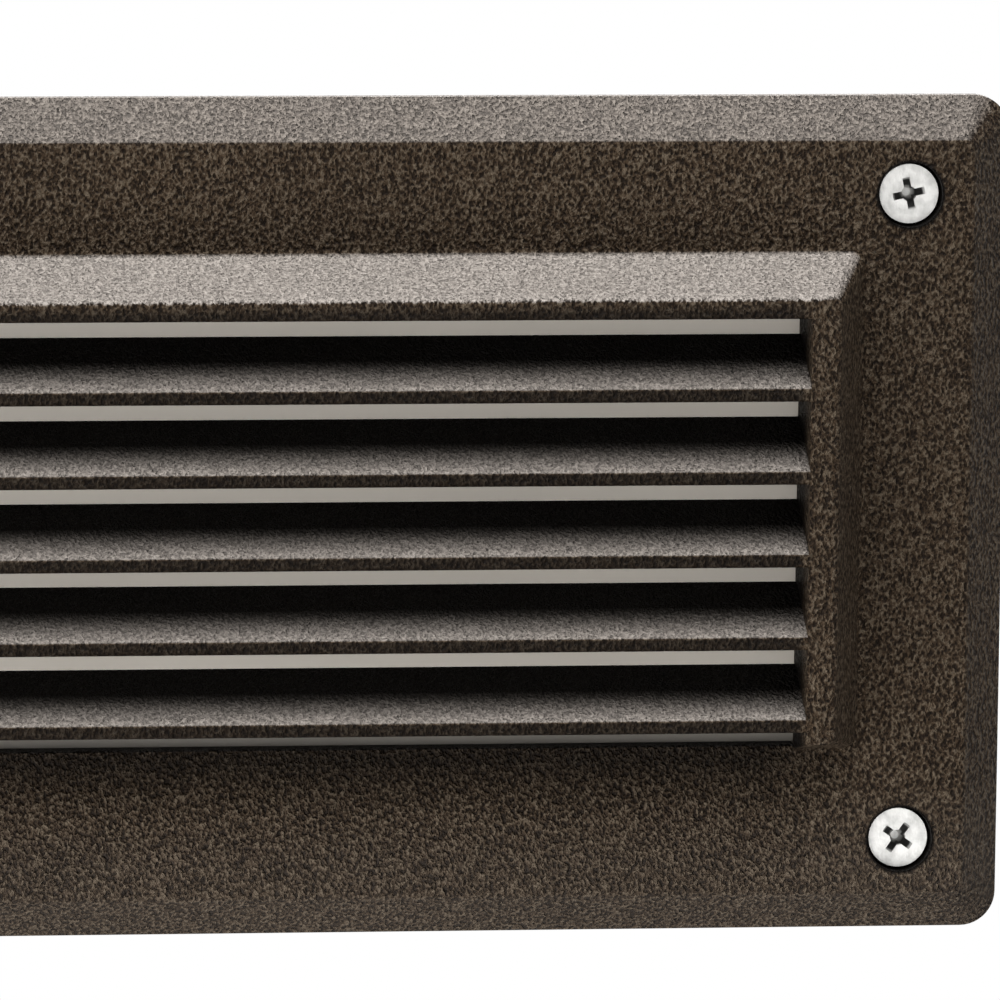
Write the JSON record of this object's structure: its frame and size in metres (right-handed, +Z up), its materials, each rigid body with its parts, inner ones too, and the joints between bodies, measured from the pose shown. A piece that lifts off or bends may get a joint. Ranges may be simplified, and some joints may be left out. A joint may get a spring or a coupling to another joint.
{
  "type": "step light",
  "caption": "Recessed brick step light: a louvred cast faceplate in textured dark bronze with a frosted lens, screwed to a cast wall housing that holds its lamp board and driver.",
  "frame": {"origin": "centre of the faceplate's back rim, on the wall's surface", "axes": "+X to the right seen from the front, +Y into the wall, +Z up"},
  "size_m": [0.235, 0.0976, 0.1142],
  "materials": {
    "bronze_powder_coat": "coarse textured",
    "housing_paint": "matte cast",
    "stainless": "satin",
    "zinc_steel": "satin",
    "spring_steel": "satin",
    "frosted_glass": "frosted",
    "silicone": "matte",
    "sponge_rubber": "matte",
    "nylon": "matte",
    "white_enamel": "satin",
    "board_mask": "satin",
    "lamp_package": "satin",
    "thermal_grey": "matte",
    "driver_black": "matte",
    "terminal_plastic": "satin",
    "plug_metal": "cast",
    "ground_green": "gloss",
    "lead_insulation": "satin",
    "lead_green": "satin",
    "lead_red": "satin"
  },
  "bodies": {
    "base": {"housing": "housing_paint", "conduit_plugs": "plug_metal", "reflector_tray": "white_enamel", "tray_screws": "zinc_steel", "thermal_pad": "thermal_grey", "led_board": "board_mask", "leds": "lamp_package", "board_screws": "zinc_steel", "driver": "driver_black", "driver_screws": "zinc_steel", "terminal_block": "terminal_plastic", "terminal_screws": "zinc_steel", "ground_screw": "ground_green", "supply_leads": "lead_insulation", "ground_lead": "lead_green", "lamp_leads": "lead_red"},
    "cover": {"faceplate": "bronze_powder_coat", "lens": "frosted_glass", "lens_seal": "silicone", "lens_clips": "spring_steel", "lens_clip_screws": "zinc_steel", "face_screws": "stainless", "screw_keepers": "nylon", "faceplate_gasket": "sponge_rubber"}
  },
  "joints": [
    {"name": "cover_removal", "type": "slide", "parent": "base", "child": "cover", "axis": [0, -1, 0], "range_m": [0, 0.06]}
  ]
}
